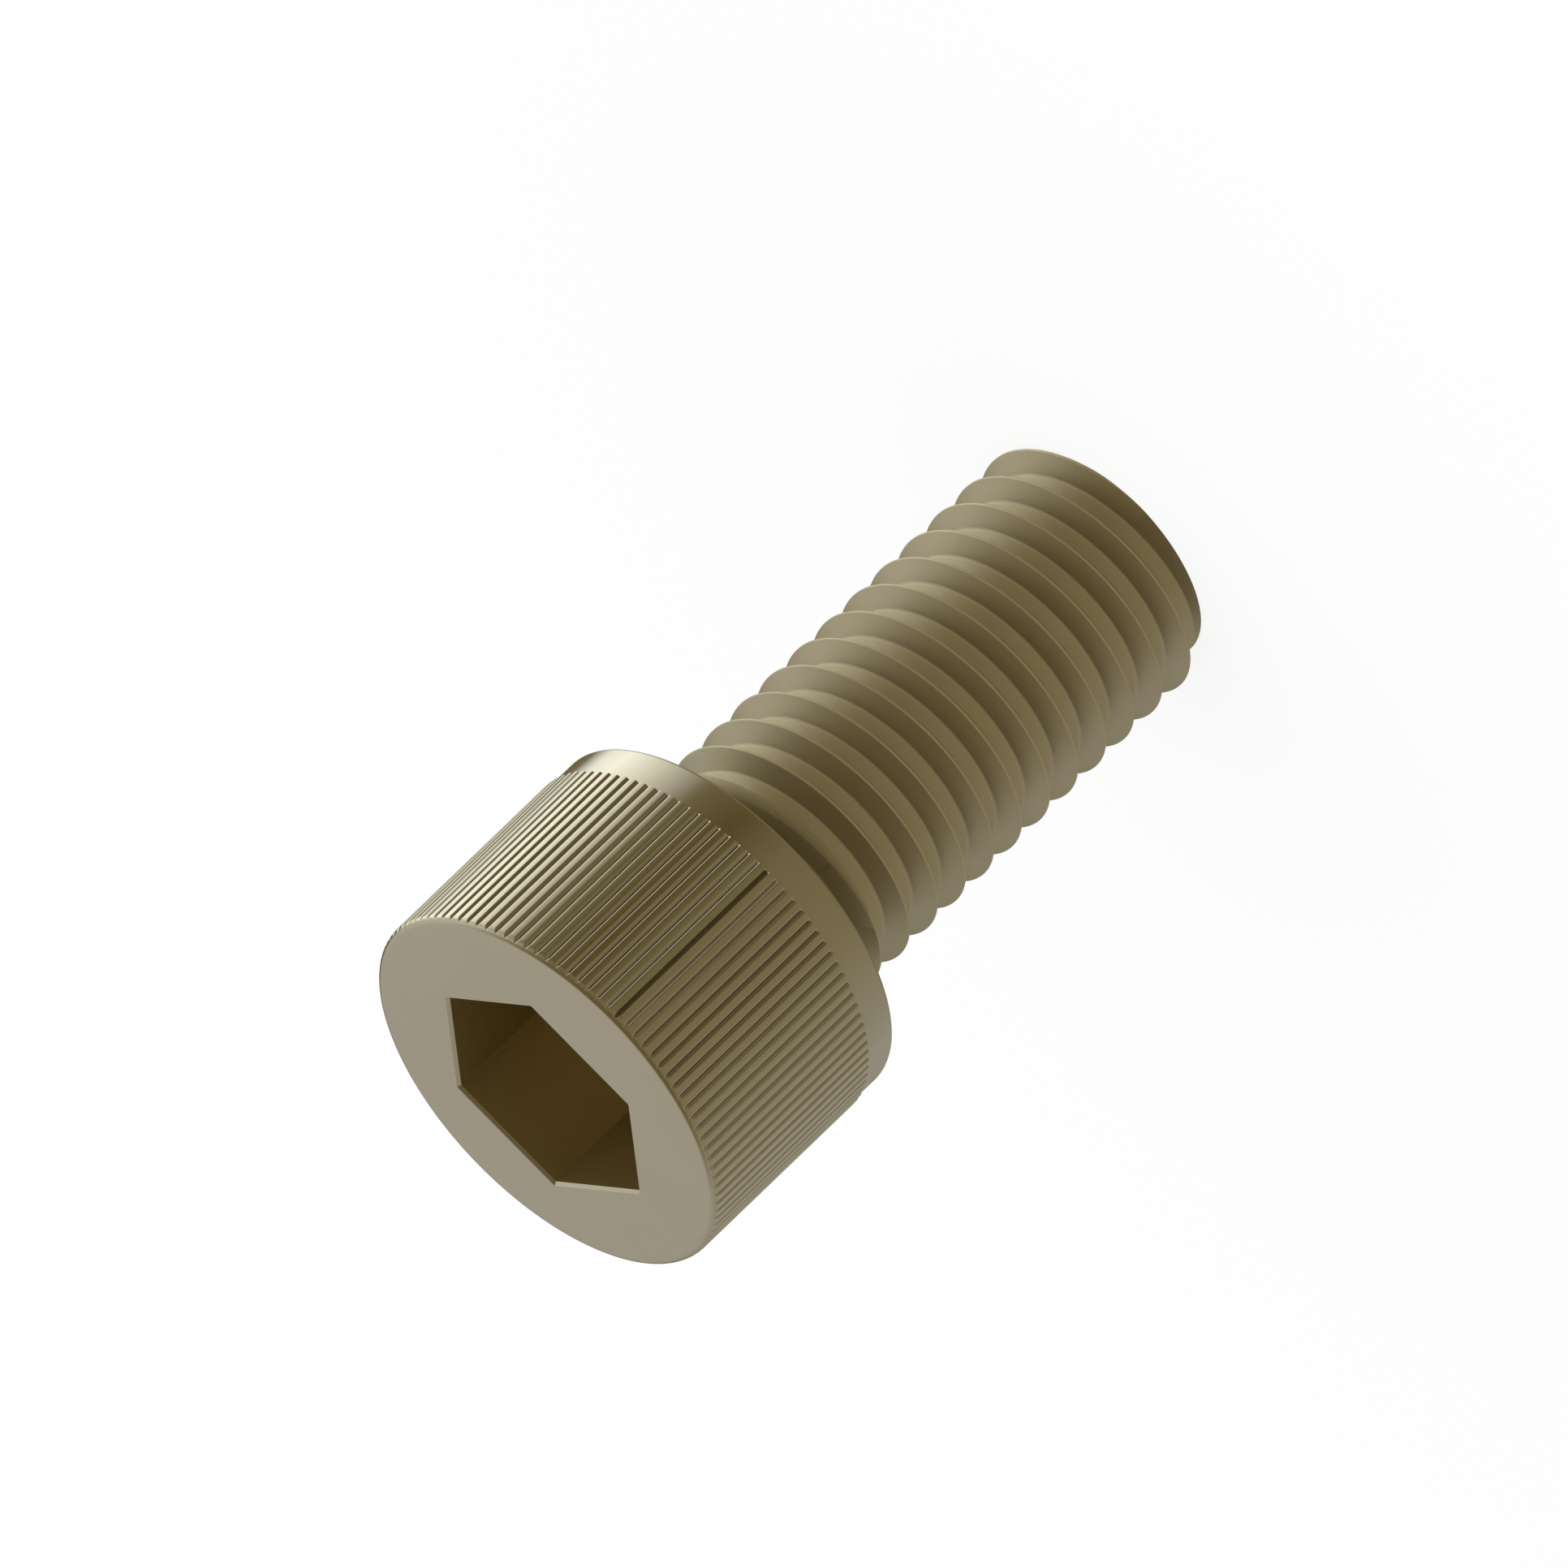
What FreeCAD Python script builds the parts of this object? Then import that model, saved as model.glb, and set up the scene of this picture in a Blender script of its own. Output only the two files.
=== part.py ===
import FreeCAD, Part
import math
import os
from FreeCAD import Vector

# Hexagon socket screw with a knurled cylinder head, made as one piece of steel.
# All lengths are in millimetres. The origin is the centre of the flat end of the thread,
# +Z points to the head, and two corners of the hexagon socket lie on the X axis.

# Thread: its start is turned back about the axis by the phase
thread_diameter = 10.0
thread_pitch = 1.5
thread_depth = 0.8
thread_angle = 60.0
thread_phase = 77.0

# Shank: from the flat end to the face under the head
shank_length = 20.0
neck_diameter = 9.0
neck_length = 1.2
neck_flare = 0.6
runout_angle = 45.0

# Head: a plain collar, the knurled drum, and a rounded edge at the face
head_diameter = 15.0
head_height = 9.8
head_edge_radius = 0.28
collar_length = 1.4

# Knurl: straight ridges round the head, with one wider groove where the rolls met
knurl_count = 104
knurl_rise = 0.095
knurl_depth = 0.09
knurl_land = 0.26
seam_width = 0.32
seam_depth = 0.15
seam_angle = 270.0

# Hexagon socket: its width is the key with the clearance that lets the key slide in
key_size = 8.0
key_clearance = 0.03
socket_depth = 5.2
socket_chamfer = 0.11

# Worked out from the sizes above
thread_radius = thread_diameter / 2
root_radius = thread_radius - thread_depth
neck_radius = neck_diameter / 2
crest_radius = head_diameter / 2 + knurl_rise
head_top = shank_length + head_height
knurl_start = shank_length + collar_length
socket_width = key_size + key_clearance

# Reach of a cutting or joining shape past the surface that it meets
spare = 1.0
sink = 0.1


def polar(radius, degrees, height):
    angle = math.radians(degrees)
    return Vector(radius * math.cos(angle), radius * math.sin(angle), height)


def ring(radius, count, start, height):
    """Corners of a level polygon with equal sides."""
    return [polar(radius, start + index * 360.0 / count, height) for index in range(count)]


def flat_face(corners):
    return Part.Face(Part.makePolygon(corners + corners[:1]))


def flat_sided(levels):
    """Solid with flat sides through level polygons, from the lowest up."""
    faces = [flat_face(levels[0]), flat_face(levels[-1])]
    for lower, upper in zip(levels, levels[1:]):
        for index in range(len(lower)):
            faces.append(flat_face([lower[index - 1], lower[index], upper[index], upper[index - 1]]))
    return Part.Solid(Part.Shell(faces))


def turned(points):
    """Solid of revolution about Z from (radius, height) points."""
    profile = flat_face([Vector(radius, 0, height) for radius, height in points])
    return profile.revolve(Vector(0, 0, 0), Vector(0, 0, 1), 360)


def thread_ridge():
    """Right-handed helical ridge of triangular section, longer than the shank at both ends."""
    foot_radius = root_radius - sink
    half_foot = (thread_radius - foot_radius) * math.tan(math.radians(thread_angle / 2))
    length = shank_length + 2 * thread_pitch
    helix = Part.makeLongHelix(thread_pitch, length, thread_radius, 0, False)
    tip = Vector(thread_radius, 0, 0)
    section = [tip, Vector(foot_radius, 0, -half_foot), Vector(foot_radius, 0, half_foot), tip]
    sweep = Part.BRepOffsetAPI.MakePipeShell(helix)
    sweep.setFrenetMode(True)
    sweep.add(Part.makePolygon(section), False, False)
    sweep.build()
    sweep.makeSolid()
    ridge = sweep.shape()
    ridge.translate(Vector(0, 0, -thread_pitch))
    ridge.rotate(Vector(0, 0, 0), Vector(0, 0, 1), -thread_phase)
    return ridge


def runout_height(radius):
    """Height at which the cone that ends the thread has this radius."""
    rise = (radius - neck_radius) * math.tan(math.radians(runout_angle))
    return shank_length - neck_length - rise


def threaded_rod():
    """Root cylinder and ridge, square at the free end and trimmed by the run-out cone."""
    outer = thread_radius + spare
    bar = Part.makeCylinder(root_radius, shank_length + spare, Vector(0, 0, -spare))
    limit = turned([
        (0, 0),
        (outer, 0),
        (outer, runout_height(outer)),
        (neck_radius, runout_height(neck_radius)),
        (0, runout_height(neck_radius)),
    ])
    return bar.fuse(thread_ridge()).common(limit)


def neck():
    """Plain neck that flares into the head, with the inner part of the run-out cone."""
    bottom = shank_length - neck_length - (neck_radius - root_radius)
    return turned([
        (0, bottom - sink),
        (root_radius - sink, bottom - sink),
        (neck_radius, shank_length - neck_length),
        (neck_radius, shank_length - neck_flare),
        (neck_radius + neck_flare, shank_length),
        (neck_radius + neck_flare, shank_length + sink),
        (0, shank_length + sink),
    ])


def knurl_outline():
    """Corners of the ridges: a V groove, then a land, round the whole head."""
    step = 360.0 / knurl_count
    half_groove = step / 2 - math.degrees(knurl_land / 2 / crest_radius)
    half_seam = math.degrees(seam_width / 2 / crest_radius)
    corners = []
    for index in range(knurl_count):
        middle = seam_angle + index * step
        half_width = half_seam if index == 0 else half_groove
        depth = seam_depth if index == 0 else knurl_depth
        corners.append(polar(crest_radius, middle - half_width, knurl_start))
        corners.append(polar(crest_radius - depth, middle, knurl_start))
        corners.append(polar(crest_radius, middle + half_width, knurl_start))
    return corners


def head():
    """Collar and knurled drum; each ridge has two flats that follow the round of the top edge."""
    collar = Part.makeCylinder(head_diameter / 2, collar_length, Vector(0, 0, shank_length))
    ridges = flat_face(knurl_outline()).extrude(Vector(0, 0, head_height))
    rim_radius = crest_radius - head_edge_radius
    edge_start = head_top - head_edge_radius
    middle_reach = head_edge_radius * math.cos(math.radians(45))
    lean = middle_reach / (head_edge_radius - middle_reach)
    edge = flat_sided([
        ring(crest_radius + spare, knurl_count, seam_angle, knurl_start - spare),
        ring(crest_radius + spare, knurl_count, seam_angle, edge_start - lean * spare),
        ring(rim_radius + middle_reach, knurl_count, seam_angle, edge_start + middle_reach),
        ring(rim_radius, knurl_count, seam_angle, head_top),
    ])
    return collar.fuse(ridges.common(edge))


def hexagon(width, height):
    """Corners of a level hexagon of this width across flats."""
    return ring(width / 2 / math.cos(math.radians(30)), 6, 0, height)


def socket():
    """Space for the key: a hexagon with a flat floor and a chamfered mouth."""
    hole = flat_sided([
        hexagon(socket_width, head_top - socket_depth),
        hexagon(socket_width, head_top + spare),
    ])
    mouth = flat_sided([
        hexagon(socket_width - 2 * socket_chamfer, head_top - 2 * socket_chamfer),
        hexagon(socket_width + 4 * socket_chamfer, head_top + socket_chamfer),
    ])
    return hole.fuse(mouth)


screw = head().fuse(neck()).fuse(threaded_rod()).cut(socket())
os.makedirs("parts", exist_ok=True)
screw.Solids[0].exportStep("parts/screw.step")
print("solids", len(screw.Solids), "valid", screw.isValid(), "volume", round(screw.Volume, 1))
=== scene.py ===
# Socket head cap screw standing on its end: the finished steel piece, its light tent and the camera
import math
import bmesh
import bpy
from mathutils import Matrix, Vector


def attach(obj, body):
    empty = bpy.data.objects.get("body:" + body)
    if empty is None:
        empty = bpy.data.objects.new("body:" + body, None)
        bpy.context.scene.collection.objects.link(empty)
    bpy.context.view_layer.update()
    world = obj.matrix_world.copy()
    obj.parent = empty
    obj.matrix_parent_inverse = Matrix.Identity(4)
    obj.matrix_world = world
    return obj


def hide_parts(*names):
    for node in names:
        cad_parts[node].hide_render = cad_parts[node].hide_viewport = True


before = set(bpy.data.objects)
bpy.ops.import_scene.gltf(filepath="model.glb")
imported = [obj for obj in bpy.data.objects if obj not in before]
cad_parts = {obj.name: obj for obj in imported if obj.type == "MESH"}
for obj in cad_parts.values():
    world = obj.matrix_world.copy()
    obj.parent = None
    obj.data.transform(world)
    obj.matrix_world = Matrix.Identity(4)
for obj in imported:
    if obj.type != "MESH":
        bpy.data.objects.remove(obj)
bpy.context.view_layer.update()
print("frame loaded")

# The piece is modelled in millimetres and brought to metres at the end
perMetre = 1000
near = 0.01             # small steps, and margins for telling points apart
hair = 0.001
mergeGap = 0.0005       # points closer than this become one


def pickOnly(obj):
    bpy.ops.object.select_all(action="DESELECT")
    obj.select_set(True)
    bpy.context.view_layer.objects.active = obj


def openEdit(obj):
    pickOnly(obj)
    bpy.ops.object.mode_set(mode="EDIT")


def closeEdit():
    bpy.ops.object.mode_set(mode="OBJECT")


# Object with a single point at the origin, left selected in edit mode
def startPoint(name):
    bpy.ops.object.select_all(action="DESELECT")
    bpy.ops.mesh.primitive_plane_add(location=(0, 0, 0))
    obj = bpy.context.object
    obj.name = name
    openEdit(obj)
    bpy.ops.mesh.select_all(action="SELECT")
    bpy.ops.mesh.merge(type="CENTER")
    return obj


def selectWhere(obj, test):
    shape = bmesh.from_edit_mesh(obj.data)
    bpy.ops.mesh.select_all(action="DESELECT")
    for vert in shape.verts:
        vert.select_set(test(vert.co))
    shape.select_flush(True)
    bmesh.update_edit_mesh(obj.data)


def lift(value):
    bpy.ops.mesh.extrude_region_move(TRANSFORM_OT_translate={"value": value})


def flatRadius(co):
    return math.hypot(co.x, co.y)


def carve(obj, tool, operation):
    pickOnly(obj)
    step = obj.modifiers.new("carve", "BOOLEAN")
    step.operation = operation
    step.solver = "EXACT"
    step.object = tool
    bpy.ops.object.modifier_apply(modifier=step.name)
    bpy.data.objects.remove(tool, do_unlink=True)


# Threaded rod, in millimetres: one pitch of the profile, wound up the axis
threadSize = {
    "radius": 5.0,
    "depth": 0.76,
    "pitch": 1.5,
    "crestFlat": 0.09,
    "flankAngle": 30,
    "endFlankAngle": 25,    # the flank that faces the free end
    "crestRound": 0.03,
    "rootRound": 0.09,
    "crestHeight": 0.321,   # height of a crest on the +X side
    "roundSteps": 3,
    "turns": 16,
    "steps": 120,
    "rodTop": 19.6,
}


def makeThread(size):
    rootRadius = size["radius"] - size["depth"]
    halfCrest = size["crestFlat"] / 2
    headFoot = halfCrest + size["depth"] * math.tan(math.radians(size["flankAngle"]))
    endFoot = halfCrest + size["depth"] * math.tan(math.radians(size["endFlankAngle"]))
    halfPitch = size["pitch"] / 2
    start = size["crestHeight"] - size["pitch"]
    corners = [
        (rootRadius, start - halfPitch),
        (rootRadius, start - endFoot),
        (size["radius"], start - halfCrest),
        (size["radius"], start + halfCrest),
        (rootRadius, start + headFoot),
        (rootRadius, start + halfPitch),
    ]
    rod = startPoint("threadedRod")
    bpy.ops.transform.translate(value=(corners[0][0], 0, corners[0][1]))
    for before, after in zip(corners, corners[1:]):
        bpy.ops.mesh.extrude_vertices_move(
            TRANSFORM_OT_translate={"value": (after[0] - before[0], 0, after[1] - before[1])})
    selectWhere(rod, lambda co: co.x > size["radius"] - near)
    bpy.ops.mesh.bevel(offset=size["crestRound"], segments=size["roundSteps"], affect="VERTICES")
    selectWhere(rod, lambda co: co.x < rootRadius + near and abs(co.z - start) < halfPitch - near)
    bpy.ops.mesh.bevel(offset=size["rootRound"], segments=size["roundSteps"], affect="VERTICES")
    closeEdit()
    wind = rod.modifiers.new("wind", "SCREW")
    wind.axis = "Z"
    wind.angle = math.tau
    wind.steps = size["steps"]
    wind.render_steps = size["steps"]
    wind.screw_offset = size["pitch"]
    wind.iterations = size["turns"]
    pickOnly(rod)
    bpy.ops.object.modifier_apply(modifier=wind.name)
    openEdit(rod)
    bpy.ops.mesh.select_all(action="SELECT")
    bpy.ops.mesh.remove_doubles(threshold=mergeGap)
    bpy.ops.mesh.bisect(plane_co=(0, 0, 0), plane_no=(0, 0, 1), use_fill=True, clear_inner=True)
    bpy.ops.mesh.select_all(action="SELECT")
    bpy.ops.mesh.bisect(
        plane_co=(0, 0, size["rodTop"]), plane_no=(0, 0, 1), use_fill=True, clear_outer=True)
    bpy.ops.mesh.select_all(action="SELECT")
    bpy.ops.mesh.normals_make_consistent(inside=False)
    closeEdit()
    return rod


# Run-out: only the thread inside a cylinder with a cone on top stays, which trims it from 17.75 up
runoutSize = {
    "outer": 5.4,
    "coneFoot": 17.07,
    "tipRadius": 4.3,
    "tipHeight": 18.94,
    "below": 1.0,
    "sides": 240,
}


def makeRunoutTool(size):
    height = size["coneFoot"] + size["below"]
    bpy.ops.object.select_all(action="DESELECT")
    bpy.ops.mesh.primitive_cylinder_add(
        vertices=size["sides"], radius=size["outer"], depth=height,
        location=(0, 0, height / 2 - size["below"]))
    tool = bpy.context.object
    bpy.ops.object.transform_apply(location=True)
    openEdit(tool)
    selectWhere(tool, lambda co: co.z > size["coneFoot"] - near)
    lift((0, 0, size["tipHeight"] - size["coneFoot"]))
    shrink = size["tipRadius"] / size["outer"]
    bpy.ops.transform.resize(value=(shrink, shrink, 1), center_override=(0, 0, 0))
    closeEdit()
    return tool


# Head, in millimetres: one ridge of the knurl with its strip of collar, copied round the axis
headSize = {
    "ridges": 104,
    "underside": 20.0,
    "top": 29.7995,         # just under the solid's top at 29.8
    "collarRadius": 7.5,
    "collarTop": 21.4,
    "crestRadius": 7.595,
    "grooveDepth": 0.09,
    "land": 0.26,
    "landRound": 0.035,
    "landSteps": 3,
    "grooveRound": 0.03,
    "grooveSteps": 2,
    "edgeRound": 0.28,
    "edgeSteps": 9,
    "rimRound": 0.14,
    "rimSteps": 5,
    "crown": 0.15,          # rise of the face from its edge to the socket
    "crownStart": 4.9,      # radius inside which the face is level
    "faceBorder": 0.08,     # plain ring just inside the rounded edge
    "seamAngle": 270,
    "seamWidth": 0.12,
    "seamDepth": 0.11,
    "neckRadius": 4.5,
    "neckRound": 0.6,
    "neckSteps": 5,
    "neckFoot": 18.8,
    "plugRadius": 4.1,      # end of the neck, buried in the core of the thread
    "smoothAngle": 32,
}


# Points of a round that takes off a corner, from a reach before it to a reach after it
def roundCorner(before, corner, after, reach, steps):
    start = corner + (before - corner).normalized() * reach
    end = corner + (after - corner).normalized() * reach
    shares = [step / steps for step in range(steps + 1)]
    return [start.lerp(corner, share).lerp(corner.lerp(end, share), share) for share in shares]


def makeHead(size):
    crest = size["crestRadius"]
    halfPitch = math.pi * crest / size["ridges"]
    # half of a ridge from the land's middle to the groove's floor: distance round the head, depth
    middle = Vector((0, 0))
    landEnd = Vector((size["land"] / 2, 0))
    floor = Vector((halfPitch, size["grooveDepth"]))
    nextLand = Vector((2 * halfPitch - landEnd.x, 0))
    half = [middle] + roundCorner(middle, landEnd, floor, size["landRound"], size["landSteps"])
    floorRound = roundCorner(landEnd, floor, nextLand, size["grooveRound"], size["grooveSteps"])
    half += floorRound[:size["grooveSteps"] // 2 + 1]    # the next ridge has the other half
    columns = [(-along, depth) for along, depth in reversed(half[1:])]
    columns += [tuple(point) for point in half]
    rimRadius = crest - size["edgeRound"]
    rimTop = size["top"] - size["crown"]
    edgeStart = rimTop - size["edgeRound"]
    # rows from the rim under the collar to the face: height, largest radius, knurled or plain
    rows = []
    for step in range(size["rimSteps"] + 1):
        turn = math.pi / 2 * step / size["rimSteps"]
        rows.append((
            size["underside"] + size["rimRound"] * (1 - math.cos(turn)),
            size["collarRadius"] - size["rimRound"] * (1 - math.sin(turn)),
            False))
    rows += [
        (size["collarTop"], size["collarRadius"], False),
        (size["collarTop"], crest, True),
        (edgeStart, crest, True),
    ]
    for step in range(1, size["edgeSteps"] + 1):
        turn = math.pi / 2 * step / size["edgeSteps"]
        rows.append((
            edgeStart + size["edgeRound"] * math.sin(turn),
            rimRadius + size["edgeRound"] * math.cos(turn),
            True))
    border = size["faceBorder"] / (rimRadius - size["crownStart"])
    rows.append((rimTop + size["crown"] * border, rimRadius - size["faceBorder"], False))
    rows.append((size["top"], size["crownStart"], False))

    def place(vert, column, row):
        along, depth = columns[column]
        height, limit, knurled = row
        radius = min(crest - depth, limit) if knurled else limit
        angle = math.radians(size["seamAngle"]) + (along + halfPitch) / crest
        vert.co = Vector((radius * math.cos(angle), radius * math.sin(angle), height))

    head = startPoint("capScrew")
    for column in range(len(columns) - 1):
        bpy.ops.mesh.extrude_vertices_move(TRANSFORM_OT_translate={"value": (near, 0, 0)})
    shape = bmesh.from_edit_mesh(head.data)
    mark = shape.verts.layers.int.new("column")
    for index, vert in enumerate(sorted(shape.verts, key=lambda vert: vert.co.x)):
        vert[mark] = index
        place(vert, index, rows[0])
        vert.select_set(True)
    shape.select_flush(True)
    bmesh.update_edit_mesh(head.data)
    for row in rows[1:]:
        lift((0, 0, near))
        shape = bmesh.from_edit_mesh(head.data)
        mark = shape.verts.layers.int["column"]
        for vert in [vert for vert in shape.verts if vert.select]:
            place(vert, vert[mark], row)
        bmesh.update_edit_mesh(head.data)
    bpy.ops.mesh.select_all(action="SELECT")
    ridges = size["ridges"]
    bpy.ops.mesh.spin(
        steps=ridges - 1, dupli=True, angle=math.tau * (ridges - 1) / ridges,
        center=(0, 0, 0), axis=(0, 0, 1))
    bpy.ops.mesh.select_all(action="SELECT")
    bpy.ops.mesh.remove_doubles(threshold=mergeGap)
    cutSeam(head, size)
    growNeck(head, size)
    selectWhere(head, lambda co: co.z > size["top"] - hair)
    bpy.ops.mesh.edge_face_add()
    bpy.ops.mesh.select_all(action="SELECT")
    bpy.ops.mesh.normals_make_consistent(inside=False)
    closeEdit()
    return head


# Turns the groove at the seam angle into the narrower, deeper one
def cutSeam(head, size):
    shape = bmesh.from_edit_mesh(head.data)
    crest = size["crestRadius"]
    seam = math.radians(size["seamAngle"])
    edgeStart = size["top"] - size["crown"] - size["edgeRound"]
    grooveHalf = math.pi * crest / size["ridges"] - size["land"] / 2 + size["landRound"]
    narrowing = (size["seamWidth"] / 2 + size["landRound"]) / grooveHalf
    for vert in shape.verts:
        radius = flatRadius(vert.co)
        if vert.co.z < size["collarTop"] - near or radius < size["collarRadius"] - size["edgeRound"]:
            continue
        turn = math.remainder(math.atan2(vert.co.y, vert.co.x) - seam, math.tau)
        along = turn * crest
        if abs(along) > grooveHalf + 2 * hair or abs(radius - size["collarRadius"]) < hair / 10:
            continue
        depth = (crest - min(radius, crest)) if vert.co.z < edgeStart + hair else 0
        share = max(0, 1 - abs(along) / grooveHalf)
        deeper = crest - max(depth * size["seamDepth"] / size["grooveDepth"], share * size["seamDepth"])
        angle = seam + turn * narrowing
        reach = min(radius, deeper)
        vert.co = Vector((reach * math.cos(angle), reach * math.sin(angle), vert.co.z))
    bmesh.update_edit_mesh(head.data)


# Goes on from the collar's rim: the face under the head, the round and the neck with its plug
def growNeck(head, size):
    selectWhere(head, lambda co: co.z < size["underside"] + hair)
    radius = size["collarRadius"] - size["rimRound"]
    stops = [(size["neckRadius"] + size["neckRound"], size["underside"])]
    for step in range(1, size["neckSteps"] + 1):
        turn = math.pi / 2 * step / size["neckSteps"]
        stops.append((
            size["neckRadius"] + size["neckRound"] * (1 - math.sin(turn)),
            size["underside"] - size["neckRound"] * (1 - math.cos(turn))))
    stops.append((size["neckRadius"], size["neckFoot"]))
    stops.append((size["plugRadius"], size["neckFoot"] - (size["neckRadius"] - size["plugRadius"])))
    height = size["underside"]
    for nextRadius, nextHeight in stops:
        lift((0, 0, nextHeight - height))
        share = nextRadius / radius
        bpy.ops.transform.resize(value=(share, share, 1), center_override=(0, 0, 0))
        radius, height = nextRadius, nextHeight
    bpy.ops.mesh.edge_face_add()


# Hexagon socket, in millimetres: the shape that is taken out of the head
socketSize = {
    "acrossFlats": 8.03,
    "depth": 5.2,
    "chamfer": 0.11,
    "cornerRound": 0.05,
    "cornerSteps": 3,
    "trim": 0.1,            # rounded top edge that is cut off and made straight again
    "top": headSize["top"],
    "above": 1.0,
}


def makeSocketTool(size):
    halfSide = math.radians(30)
    cornerRadius = size["acrossFlats"] / 2 / math.cos(halfSide)
    wallTop = size["top"] - size["chamfer"]
    wall = size["depth"] - size["chamfer"]
    bpy.ops.object.select_all(action="DESELECT")
    bpy.ops.mesh.primitive_cylinder_add(
        vertices=6, radius=cornerRadius, depth=wall, rotation=(0, 0, halfSide),
        location=(0, 0, wallTop - wall / 2))
    tool = bpy.context.object
    bpy.ops.object.transform_apply(location=True, rotation=True)
    openEdit(tool)
    bpy.ops.mesh.select_all(action="SELECT")
    bpy.ops.mesh.bevel(offset=size["cornerRound"], segments=size["cornerSteps"], affect="EDGES")
    bpy.ops.mesh.select_all(action="SELECT")
    bpy.ops.mesh.bisect(
        plane_co=(0, 0, wallTop - size["trim"]), plane_no=(0, 0, 1), use_fill=True, clear_outer=True)
    selectWhere(tool, lambda co: co.z > wallTop - size["trim"] - hair)
    lift((0, 0, size["trim"]))
    lift((0, 0, size["chamfer"] + size["above"]))
    spread = (size["acrossFlats"] / 2 + size["chamfer"] + size["above"]) / (size["acrossFlats"] / 2)
    bpy.ops.transform.resize(value=(spread, spread, 1), center_override=(0, 0, 0))
    closeEdit()
    return tool


rod = makeThread(threadSize)
print("thread wound:", len(rod.data.polygons), "faces")
carve(rod, makeRunoutTool(runoutSize), "INTERSECT")
print("run-out trimmed:", len(rod.data.polygons), "faces")
capScrew = makeHead(headSize)
print("head knurled:", len(capScrew.data.polygons), "faces")
carve(capScrew, rod, "UNION")
carve(capScrew, makeSocketTool(socketSize), "DIFFERENCE")
capScrew.scale = (1 / perMetre, 1 / perMetre, 1 / perMetre)
pickOnly(capScrew)
bpy.ops.object.transform_apply(scale=True)
bpy.ops.object.shade_smooth_by_angle(angle=math.radians(headSize["smoothAngle"]))
flatten = capScrew.modifiers.new("flatten", "WEIGHTED_NORMAL")
flatten.keep_sharp = True
bpy.ops.object.modifier_apply(modifier=flatten.name)
print("screw joined:", len(capScrew.data.polygons), "faces")


def newMaterial(name):
    material = bpy.data.materials.new(name)
    material.use_nodes = True
    material.node_tree.nodes.clear()
    return material


def addNode(tree, kind, where, **values):
    node = tree.nodes.new(kind)
    node.location = where
    for name, value in values.items():
        setattr(node, name, value)
    return node


# Steel: one group gives all five finishes their fine grain and cloudy roughness, in millimetres
grainLook = {
    "inputs": {"Grain Size": 0.15, "Roughness": 0.3, "Roughness Spread": 0.06, "Cloud Size": 4.0},
    "grainDetail": 3,
    "cloudDetail": 4,
}


def makeGrainGroup(look):
    tree = bpy.data.node_groups.new("steelGrain", "ShaderNodeTree")
    link = tree.links.new
    for name, value in look["inputs"].items():
        socket = tree.interface.new_socket(name=name, in_out="INPUT", socket_type="NodeSocketFloat")
        socket.default_value = value
    for name in ("Roughness", "Grain", "Clouds"):
        tree.interface.new_socket(name=name, in_out="OUTPUT", socket_type="NodeSocketFloat")
    inside = addNode(tree, "NodeGroupInput", (-900, 0))
    outside = addNode(tree, "NodeGroupOutput", (700, 0))
    place = addNode(tree, "ShaderNodeTexCoord", (-900, 300))

    def addNoise(sizeName, detail, height):
        scale = addNode(tree, "ShaderNodeMath", (-700, height), operation="DIVIDE")
        scale.inputs[0].default_value = perMetre
        noise = addNode(tree, "ShaderNodeTexNoise", (-450, height))
        noise.inputs["Detail"].default_value = detail
        link(inside.outputs[sizeName], scale.inputs[1])
        link(place.outputs["Object"], noise.inputs["Vector"])
        link(scale.outputs[0], noise.inputs["Scale"])
        return noise

    grain = addNoise("Grain Size", look["grainDetail"], 150)
    clouds = addNoise("Cloud Size", look["cloudDetail"], -150)
    swing = addNode(tree, "ShaderNodeMath", (-150, 100), operation="SUBTRACT")
    swing.inputs[1].default_value = 0.5    # the mean of the clouds
    spread = addNode(tree, "ShaderNodeMath", (50, 100), operation="MULTIPLY")
    total = addNode(tree, "ShaderNodeMath", (250, 100), operation="ADD")
    link(clouds.outputs["Fac"], swing.inputs[0])
    link(swing.outputs[0], spread.inputs[0])
    link(inside.outputs["Roughness Spread"], spread.inputs[1])
    link(spread.outputs[0], total.inputs[0])
    link(inside.outputs["Roughness"], total.inputs[1])
    link(total.outputs[0], outside.inputs["Roughness"])
    link(grain.outputs["Fac"], outside.inputs["Grain"])
    link(clouds.outputs["Fac"], outside.inputs["Clouds"])
    return tree


# The five finishes: bare metal mixed with a matte olive layer, its share from bare (0) to all matte (1);
# outside the head the layer's tone and share are painted light and shade
headSteel = {
    "name": "headSteel", "colour": (0.335, 0.298, 0.226), "shade": (0.315, 0.279, 0.208), "roughness": 0.13,
    "spread": 0.05, "grainSize": 0.12, "grainDepth": 0.003, "matteLayer": (0.41, 0.28, 0.08), "matteShare": 0.02}
# Painted shade: a dark matte share darkens the walls and floors of the knurl's grooves
shadedGrooveSteel = {
    "name": "shadedGrooveSteel", "colour": (0.335, 0.298, 0.226), "shade": (0.315, 0.279, 0.208), "roughness": 0.2,
    "spread": 0.05, "grainSize": 0.12, "grainDepth": 0.006, "matteLayer": (0.12, 0.085, 0.022), "matteShare": 0.2}
# Painted light: a pale matte share gives the thread a duller look and lifts the bands of it that lie in
# shade
litThreadSteel = {
    "name": "litThreadSteel", "colour": (0.335, 0.297, 0.222), "shade": (0.305, 0.267, 0.195), "roughness": 0.5,
    "spread": 0.1, "grainSize": 0.09, "grainDepth": 0.02, "matteLayer": (0.48, 0.36, 0.11), "matteShare": 0.29}
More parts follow.
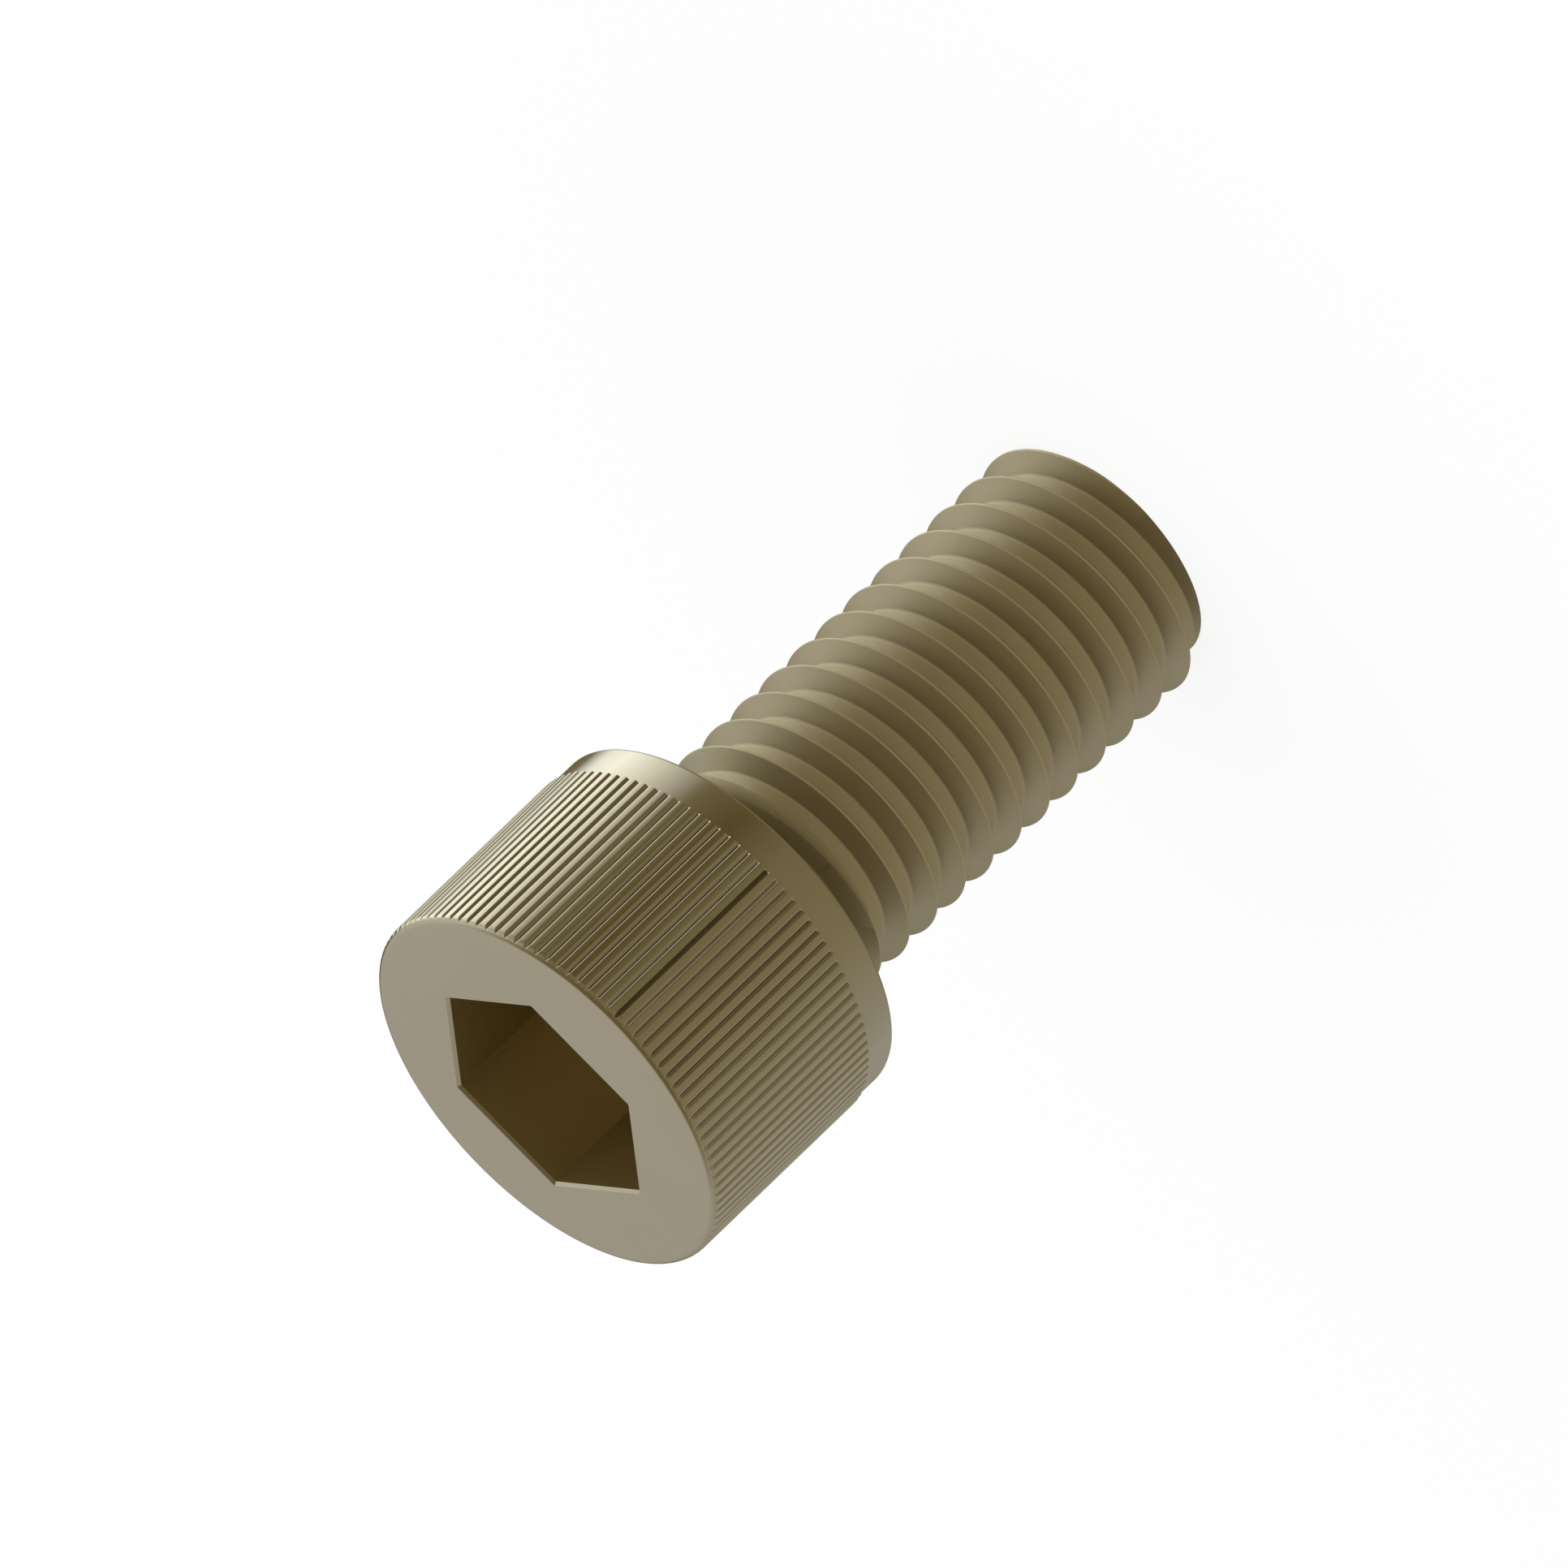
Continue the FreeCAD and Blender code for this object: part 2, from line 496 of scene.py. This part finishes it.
# Painted shade: the flank facing the head is a darker copy of the thread's finish, with less of the pale
# matte
shadedFlankSteel = {
    "name": "shadedFlankSteel", "colour": (0.335, 0.297, 0.222), "shade": (0.305, 0.267, 0.195), "roughness": 0.44,
    "spread": 0.08, "grainSize": 0.09, "grainDepth": 0.01, "matteLayer": (0.46, 0.34, 0.08), "matteShare": 0.12}
# Painted light and shade: the socket's metal is lighter and its matte darker than elsewhere, set for the
# light inside the recess
paintedSocketSteel = {
    "name": "paintedSocketSteel", "colour": (0.62, 0.53, 0.34), "shade": (0.57, 0.48, 0.29), "roughness": 0.22,
    "spread": 0.12, "grainSize": 0.16, "grainDepth": 0.03, "matteLayer": (0.2, 0.135, 0.03), "matteShare": 0.47}
steelLook = {"rimTint": (0.72, 0.72, 0.72), "matteRoughness": 0.7, "matteShine": 0.3, "bump": 0.3}
grainGroup = makeGrainGroup(grainLook)


def makeSteel(look):
    material = newMaterial(look["name"])
    tree = material.node_tree
    output = addNode(tree, "ShaderNodeOutputMaterial", (800, 0))
    steel = addNode(tree, "ShaderNodeBsdfPrincipled", (400, 0))
    steel.inputs["Metallic"].default_value = 1
    # keeps the metal from turning white where it is seen edge on
    steel.inputs["Specular Tint"].default_value = (*steelLook["rimTint"], 1)
    matteLayer = addNode(tree, "ShaderNodeBsdfPrincipled", (400, -400))
    matteLayer.inputs["Base Color"].default_value = (*look["matteLayer"], 1)
    matteLayer.inputs["Roughness"].default_value = steelLook["matteRoughness"]
    matteLayer.inputs["Specular IOR Level"].default_value = steelLook["matteShine"]
    matteMix = addNode(tree, "ShaderNodeMixShader", (600, 0))
    matteMix.inputs[0].default_value = look["matteShare"]
    grain = addNode(tree, "ShaderNodeGroup", (-300, 0))
    grain.node_tree = grainGroup
    grain.inputs["Grain Size"].default_value = look["grainSize"]
    grain.inputs["Roughness"].default_value = look["roughness"]
    grain.inputs["Roughness Spread"].default_value = look["spread"]
    tone = addNode(tree, "ShaderNodeMix", (0, 200), data_type="RGBA")
    tone.inputs["A"].default_value = (*look["colour"], 1)
    tone.inputs["B"].default_value = (*look["shade"], 1)
    bump = addNode(tree, "ShaderNodeBump", (0, -200))
    bump.inputs["Strength"].default_value = steelLook["bump"]
    bump.inputs["Distance"].default_value = look["grainDepth"] / perMetre
    link = tree.links.new
    link(grain.outputs["Clouds"], tone.inputs["Factor"])
    link(tone.outputs["Result"], steel.inputs["Base Color"])
    link(grain.outputs["Roughness"], steel.inputs["Roughness"])
    link(grain.outputs["Grain"], bump.inputs["Height"])
    link(bump.outputs["Normal"], steel.inputs["Normal"])
    link(bump.outputs["Normal"], matteLayer.inputs["Normal"])
    link(steel.outputs["BSDF"], matteMix.inputs[1])
    link(matteLayer.outputs["BSDF"], matteMix.inputs[2])
    link(matteMix.outputs[0], output.inputs["Surface"])
    return material


# Where each finish lies, in millimetres, told by the middle of a face
finishLimits = {
    "socketReach": 4.7,
    "socketFloor": socketSize["top"] - socketSize["depth"] - near,
    "socketTop": socketSize["top"] - socketSize["chamfer"] - near,
    "threadTop": headSize["underside"] - near,
    "flankRise": 0.6,       # a face that looks up by more than this is the flank towards the head
    "grooveFoot": headSize["collarTop"],
    "grooveTop": headSize["top"] - headSize["crown"] - headSize["edgeRound"],
    "grooveReach": 7.57,    # the lands and their rounds lie farther out
}


def pickFinish(face, limits):
    middle = face.center * perMetre
    radius = flatRadius(middle)
    # Painted light and shade: faces inside the socket get their own retinted finish
    if limits["socketFloor"] < middle.z < limits["socketTop"] and radius < limits["socketReach"]:
        return paintedSocketSteel
    if middle.z < limits["threadTop"]:
        # Painted shade: faces that look up, the flank towards the head, get the darker copy of the thread's
        # finish
        return shadedFlankSteel if face.normal.z > limits["flankRise"] else litThreadSteel
    # Painted shade: faces in the knurl's grooves get the darkened finish
    if limits["grooveFoot"] < middle.z < limits["grooveTop"] and radius < limits["grooveReach"]:
        return shadedGrooveSteel
    return headSteel


finishes = [headSteel, litThreadSteel, paintedSocketSteel, shadedGrooveSteel, shadedFlankSteel]
capScrew.data.materials.clear()
for finish in finishes:
    capScrew.data.materials.append(makeSteel(finish))
for face in capScrew.data.polygons:
    face.material_index = finishes.index(pickFinish(face, finishLimits))
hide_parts("screw")
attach(capScrew, "root")
print("steel laid on")


# One where a camera, glossy or transmission ray arrives, and zero for the light thrown on the screw
def addSeen(tree):
    path = addNode(tree, "ShaderNodeLightPath", (-600, 300))
    first = addNode(tree, "ShaderNodeMath", (-400, 300), operation="MAXIMUM")
    second = addNode(tree, "ShaderNodeMath", (-200, 300), operation="MAXIMUM")
    tree.links.new(path.outputs["Is Camera Ray"], first.inputs[0])
    tree.links.new(path.outputs["Is Glossy Ray"], first.inputs[1])
    tree.links.new(first.outputs[0], second.inputs[0])
    tree.links.new(path.outputs["Is Transmission Ray"], second.inputs[1])
    return second.outputs[0]


# Floor: pale, and bright enough to read as white round the screw's soft shadow
floorLook = {"width": 3.0, "colour": (0.16, 0.16, 0.16), "glow": 0.86, "bounce": (0.8, 0.8, 0.8)}


def makeFloor(look):
    bpy.ops.object.select_all(action="DESELECT")
    bpy.ops.mesh.primitive_plane_add(size=look["width"], location=(0, 0, 0))
    floor = bpy.context.object
    floor.name = "paleFloor"
    material = newMaterial("paleFloor")
    tree = material.node_tree
    output = addNode(tree, "ShaderNodeOutputMaterial", (600, 0))
    paint = addNode(tree, "ShaderNodeBsdfDiffuse", (0, 100))
    paint.inputs["Color"].default_value = (*look["colour"], 1)
    glow = addNode(tree, "ShaderNodeEmission", (0, -100))
    glow.inputs["Strength"].default_value = look["glow"]
    both = addNode(tree, "ShaderNodeAddShader", (250, 0))
    pale = addNode(tree, "ShaderNodeBsdfDiffuse", (250, -200))
    pale.inputs["Color"].default_value = (*look["bounce"], 1)
    seen = addSeen(tree)
    pick = addNode(tree, "ShaderNodeMixShader", (430, 0))
    link = tree.links.new
    link(paint.outputs[0], both.inputs[0])
    link(glow.outputs[0], both.inputs[1])
    link(seen, pick.inputs[0])
    link(pale.outputs[0], pick.inputs[1])
    link(both.outputs[0], pick.inputs[2])
    link(pick.outputs[0], output.inputs["Surface"])
    floor.data.materials.append(material)
    floor.visible_glossy = False    # in the steel the tent stands for it


# Surround: pale where the camera sees it, and soft light from all sides
surroundLook = {"seen": 1, "glow": 0.9}


def makeSurround(look):
    world = bpy.data.worlds.new("paleStudio")
    bpy.context.scene.world = world
    world.use_nodes = True
    tree = world.node_tree
    tree.nodes.clear()
    output = addNode(tree, "ShaderNodeOutputWorld", (400, 0))
    pale = addNode(tree, "ShaderNodeBackground", (0, 100))
    pale.inputs["Strength"].default_value = look["seen"]
    soft = addNode(tree, "ShaderNodeBackground", (0, -100))
    soft.inputs["Strength"].default_value = look["glow"]
    pick = addNode(tree, "ShaderNodeMixShader", (200, 0))
    tree.links.new(addSeen(tree), pick.inputs[0])
    tree.links.new(soft.outputs[0], pick.inputs[1])
    tree.links.new(pale.outputs[0], pick.inputs[2])
    tree.links.new(pick.outputs[0], output.inputs["Surface"])


# Light tent: a ball of soft panels that only the steel sees, brightest on the +X side, to the back
tentLook = {
    "radius": 0.6,
    "centre": 0.015,
    "segments": 96,
    "rings": 48,
    "brightest": 3.4,       # level that the full tone of a ramp stands for
    # levels round the ball, below and above its middle: degrees from the -Y side towards +X, level
    "low": [
        (-180, 0.34), (-155, 0.76), (-135, 0.92), (-100, 0.75), (-55, 0.57), (0, 0.46), (33, 0.25),
        (60, 0.42), (90, 1.85), (118, 3.0), (134, 2.55), (151, 0.45), (163, 0.26), (180, 0.34)],
    "high": [
        (-180, 1.02), (-145, 0.88), (-110, 0.75), (-60, 0.55), (0, 0.46), (50, 0.42), (100, 1.4),
        (140, 1.25), (180, 1.02)],
    "zenith": 0.33,
    "below": 0.45,
    # heights on the ball, from -1 to 1, over which one level passes into the next
    "sink": (-0.85, -0.5),
    "rise": (-0.1, 0.3),
    "fade": (0.58, 0.97),
    # tint of a level, from dull olive to cool white
    "tints": [
        (0.25, (1, 0.8, 0.33)), (0.55, (1, 0.9, 0.57)), (0.75, (1, 0.97, 0.87)),
        (1.0, (1, 1.0, 0.98)), (1.7, (1, 1.04, 0.99)), (3.4, (1, 1.1, 1.14))],
}


def makeRamp(tree, where, stops):
    ramp = addNode(tree, "ShaderNodeValToRGB", where)
    points = ramp.color_ramp.elements
    while len(points) < len(stops):
        points.new(0.5)
    for point, (position, colour) in zip(points, stops):
        point.position = position
        point.color = (*colour, 1)
    return ramp


# Smooth step in height on the ball, between two heights
def addStep(tree, where, heights):
    step = addNode(tree, "ShaderNodeMapRange", where, interpolation_type="SMOOTHSTEP")
    step.inputs["From Min"].default_value = heights[0]
    step.inputs["From Max"].default_value = heights[1]
    return step


def makeTent(look):
    bpy.ops.object.select_all(action="DESELECT")
    bpy.ops.mesh.primitive_uv_sphere_add(
        segments=look["segments"], ring_count=look["rings"], radius=look["radius"],
        location=(0, 0, look["centre"]))
    tent = bpy.context.object
    tent.name = "lightTent"
    material = newMaterial("tentPanels")
    tree = material.node_tree
    link = tree.links.new
    top = look["brightest"]
    place = addNode(tree, "ShaderNodeTexCoord", (-1400, 0))
    towards = addNode(tree, "ShaderNodeVectorMath", (-1200, 0), operation="NORMALIZE")
    parts = addNode(tree, "ShaderNodeSeparateXYZ", (-1000, 0))
    back = addNode(tree, "ShaderNodeMath", (-800, -100), operation="MULTIPLY")
    back.inputs[1].default_value = -1
    turn = addNode(tree, "ShaderNodeMath", (-600, 0), operation="ARCTAN2")
    share = addNode(tree, "ShaderNodeMath", (-400, 0), operation="MULTIPLY_ADD")
    share.inputs[1].default_value = 1 / math.tau
    share.inputs[2].default_value = 0.5
    fade = addStep(tree, (-400, -250), look["fade"])
    climb = addStep(tree, (-400, -450), look["rise"])
    deep = addStep(tree, (-400, -650), look["sink"])
    around = addNode(tree, "ShaderNodeMix", (0, 200), data_type="FLOAT")
    rimmed = addNode(tree, "ShaderNodeMix", (50, 200), data_type="FLOAT")
    rimmed.inputs["A"].default_value = look["below"] / top
    both = addNode(tree, "ShaderNodeMix", (100, 0), data_type="FLOAT")
    both.inputs["B"].default_value = look["zenith"] / top
    tints = [(0.0, (0, 0, 0))]
    for level, tint in look["tints"]:
        tints.append((level / top, tuple(level / top * part for part in tint)))
    tone = makeRamp(tree, (300, 0), tints)
    glow = addNode(tree, "ShaderNodeEmission", (600, 0))
    glow.inputs["Strength"].default_value = top
    output = addNode(tree, "ShaderNodeOutputMaterial", (800, 0))
    link(place.outputs["Object"], towards.inputs[0])
    link(towards.outputs[0], parts.inputs[0])
    link(parts.outputs["Y"], back.inputs[0])
    link(parts.outputs["X"], turn.inputs[0])
    link(back.outputs[0], turn.inputs[1])
    link(turn.outputs[0], share.inputs[0])
    link(parts.outputs["Z"], fade.inputs["Value"])
    for name, side, height in (("low", "A", 0), ("high", "B", 250)):
        stops = [((degrees + 180) / 360, (level / top,) * 3) for degrees, level in look[name]]
        ring = makeRamp(tree, (-200, height), stops)
        link(share.outputs[0], ring.inputs[0])
        link(ring.outputs["Color"], around.inputs[side])
    link(parts.outputs["Z"], climb.inputs["Value"])
    link(climb.outputs["Result"], around.inputs["Factor"])
    link(parts.outputs["Z"], deep.inputs["Value"])
    link(deep.outputs["Result"], rimmed.inputs["Factor"])
    link(around.outputs["Result"], rimmed.inputs["B"])
    link(fade.outputs["Result"], both.inputs["Factor"])
    link(rimmed.outputs["Result"], both.inputs["A"])
    link(both.outputs["Result"], tone.inputs[0])
    link(tone.outputs["Color"], glow.inputs["Color"])
    link(glow.outputs[0], output.inputs["Surface"])
    tent.data.materials.append(material)
    for ray in ("camera", "diffuse", "transmission", "volume_scatter", "shadow"):
        setattr(tent, "visible_" + ray, False)


# Lamp: one wide soft panel, high on the +X side
lampLook = {"distance": 0.7, "turn": 75, "rise": 50, "size": 0.9, "power": 1.2}


def makeLamp(look):
    data = bpy.data.lights.new("softPanel", "AREA")
    data.shape = "SQUARE"
    data.size = look["size"]
    data.energy = look["power"]
    lamp = bpy.data.objects.new("softPanel", data)
    bpy.context.scene.collection.objects.link(lamp)
    turn, rise = math.radians(look["turn"]), math.radians(look["rise"])
    towards = Vector((math.sin(turn) * math.cos(rise), -math.cos(turn) * math.cos(rise), math.sin(rise)))
    lamp.location = towards * look["distance"]
    lamp.rotation_euler = towards.to_track_quat("Z", "Y").to_euler()
    lamp.visible_camera = False
    lamp.visible_glossy = False


makeFloor(floorLook)
makeSurround(surroundLook)
makeTent(tentLook)
makeLamp(lampLook)
print("studio set")


# Camera: on the -Y side and above the face, rolled until the head lies at the lower left
cameraView = {
    "turn": 268.3,          # degrees from +X towards +Y
    "rise": 27.1,
    "roll": 133.86,
    "aimHeight": 0.01476,   # metres, as all lengths here
    "aimSide": 0.001979,
    "distance": 0.3,
    "frame": 0.053816,
    "nearest": 0.01,
    "farthest": 5,
}


def makeCamera(view):
    data = bpy.data.cameras.new("photoView")
    data.type = "ORTHO"
    data.ortho_scale = view["frame"]
    data.clip_start = view["nearest"]
    data.clip_end = view["farthest"]
    camera = bpy.data.objects.new("photoView", data)
    bpy.context.scene.collection.objects.link(camera)
    turn, rise, roll = (math.radians(view[name]) for name in ("turn", "rise", "roll"))
    back = Vector((math.cos(turn) * math.cos(rise), math.sin(turn) * math.cos(rise), math.sin(rise)))
    side = Vector((-math.sin(turn), math.cos(turn), 0))
    up = back.cross(side)
    right = side * math.cos(roll) - up * math.sin(roll)
    above = side * math.sin(roll) + up * math.cos(roll)
    aim = Vector((0, 0, view["aimHeight"])) + side * view["aimSide"]
    place = Matrix((right, above, back)).transposed().to_4x4()
    place.translation = aim + back * view["distance"]
    camera.matrix_world = place
    bpy.context.scene.camera = camera


makeCamera(cameraView)
bpy.context.scene.view_settings.view_transform = "Standard"
print("camera placed")
